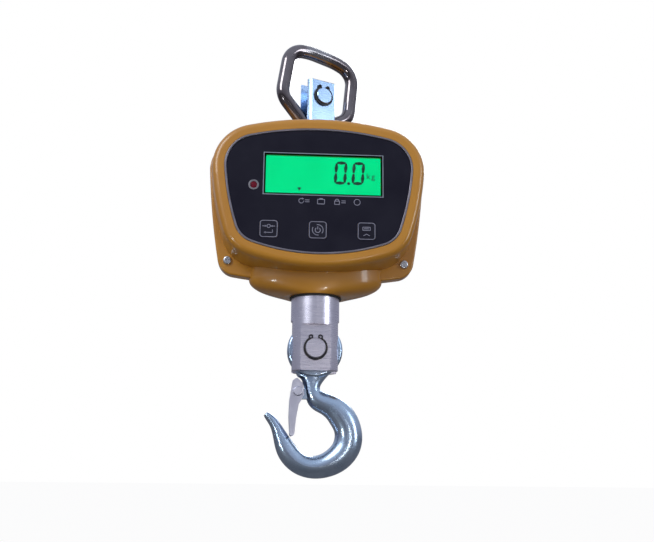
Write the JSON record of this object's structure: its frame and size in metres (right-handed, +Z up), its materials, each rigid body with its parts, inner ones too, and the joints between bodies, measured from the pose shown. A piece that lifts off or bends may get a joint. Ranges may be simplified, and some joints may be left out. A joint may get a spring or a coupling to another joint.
{
  "type": "crane scale",
  "caption": "Hanging crane scale: amber die-cast casing with lit digital display and keys, swivelling bent-rod ring above, steel load column with pinned eye hook and sprung latch below.",
  "frame": {"origin": "lowest point of the hook's bowl on the load axis, where the load hangs", "axes": "+Z up along the load axis, -Y towards the reader of the display, the hook opens towards -X"},
  "size_m": [0.206, 0.093, 0.4213],
  "materials": {
    "case_paint": "gloss amber paint",
    "screw_steel": "zinc plated",
    "ring_chrome": "chrome plated",
    "hook_plate": "bright zinc over forged steel",
    "cell_nickel": "nickel plated",
    "block_steel": "satin nickel plated",
    "clip_steel": "blackened spring steel",
    "latch_steel": "zinc plated pressing",
    "overlay_film": "near black membrane",
    "trim_silver": "satin",
    "key_film": "near black membrane, printed outline",
    "lcd_green": "green lit display",
    "window_clear": "clear",
    "lamp_red": "translucent red",
    "collar_grey": "moulded grey",
    "seal_rubber": "black",
    "foam_grey": "foam",
    "board_green": "printed circuit board",
    "part_black": "moulded black",
    "light_white": "white",
    "gauge_foil": "foil",
    "bronze": "bronze",
    "battery_wrap": "shrink wrap",
    "cable_grey": "sheath",
    "plate_zinc": "zinc plated"
  },
  "bodies": {
    "scale_body": {"front_casing": "case_paint", "rear_casing": "case_paint", "casing_gasket": "seal_rubber", "front_screws": "screw_steel", "rear_screws": "screw_steel", "battery_cover_screws": "screw_steel", "board_screws": "screw_steel", "lower_seal": "seal_rubber", "upper_seal": "seal_rubber", "panel_trim": "trim_silver", "panel_overlay": "overlay_film", "display_window": "window_clear", "display_module": "lcd_green", "backlight": "light_white", "main_board": "board_green", "key_switches": "part_black", "charge_lamp": "lamp_red", "lamp_collar": "collar_grey", "ir_receiver": "part_black", "battery": "battery_wrap", "battery_cushion": "foam_grey", "battery_cover": "case_paint", "charge_socket": "screw_steel", "load_cell": "cell_nickel", "strain_gauges": "gauge_foil", "gauge_covers": "plate_zinc", "load_cell_cable": "cable_grey", "cable_gland": "part_black", "mounting_plate": "plate_zinc", "plate_screws": "screw_steel", "lower_pin": "cell_nickel", "lower_circlips": "clip_steel", "swivel_housing": "block_steel", "thrust_bearing": "bronze", "wear_washer": "bronze"},
    "swivel": {"swivel_clevis": "block_steel", "swivel_nut": "block_steel", "nut_lock_pin": "screw_steel"},
    "ring_pin": {"upper_pin": "block_steel", "upper_circlips": "clip_steel"},
    "ring": {"hanging_ring": "ring_chrome"},
    "hook_body": {"hook": "hook_plate", "latch_rivet": "latch_steel", "latch_spring": "clip_steel"},
    "latch": {"safety_latch": "latch_steel"},
    "zero_button": {"zero_key": "key_film"},
    "power_button": {"power_key": "key_film"},
    "hold_button": {"hold_key": "key_film"},
    "socket_cap": {"charge_cap": "seal_rubber"}
  },
  "joints": [
    {"name": "swivel_turn", "type": "hinge", "parent": "scale_body", "child": "swivel", "pos_m": [0, 0, 0.302], "axis": [0, 0, 1], "continuous": true},
    {"name": "ring_swing", "type": "hinge", "parent": "swivel", "child": "ring_pin", "pos_m": [0, 0, 0.3455], "axis": [0.4226, -0.9063, 0], "range_deg": [-8, 18]},
    {"name": "ring_lift", "type": "slide", "parent": "ring_pin", "child": "ring", "axis": [0.2017, 0.094, 0.9749], "range_m": [0, 0.0158]},
    {"name": "hook_swing", "type": "hinge", "parent": "scale_body", "child": "hook_body", "pos_m": [0, 0, 0.095], "axis": [0, 1, 0], "range_deg": [-35, 35]},
    {"name": "latch_open", "type": "hinge", "parent": "hook_body", "child": "latch", "pos_m": [-0.015, 0, 0.057], "axis": [0, -1, 0], "range_deg": [0, 34], "stiffness_Nm_per_rad": 0.05, "springref_deg": -17.19, "deforming": ["latch_spring"]},
    {"name": "zero_press", "type": "slide", "parent": "scale_body", "child": "zero_button", "axis": [0, 1, 0], "range_m": [0, 0.0005], "stiffness_N_per_m": 800},
    {"name": "power_press", "type": "slide", "parent": "scale_body", "child": "power_button", "axis": [0, 1, 0], "range_m": [0, 0.0005], "stiffness_N_per_m": 800},
    {"name": "hold_press", "type": "slide", "parent": "scale_body", "child": "hold_button", "axis": [0, 1, 0], "range_m": [0, 0.0005], "stiffness_N_per_m": 800},
    {"name": "cap_pull", "type": "slide", "parent": "scale_body", "child": "socket_cap", "axis": [0, 1, 0], "range_m": [0, 0.01]}
  ]
}
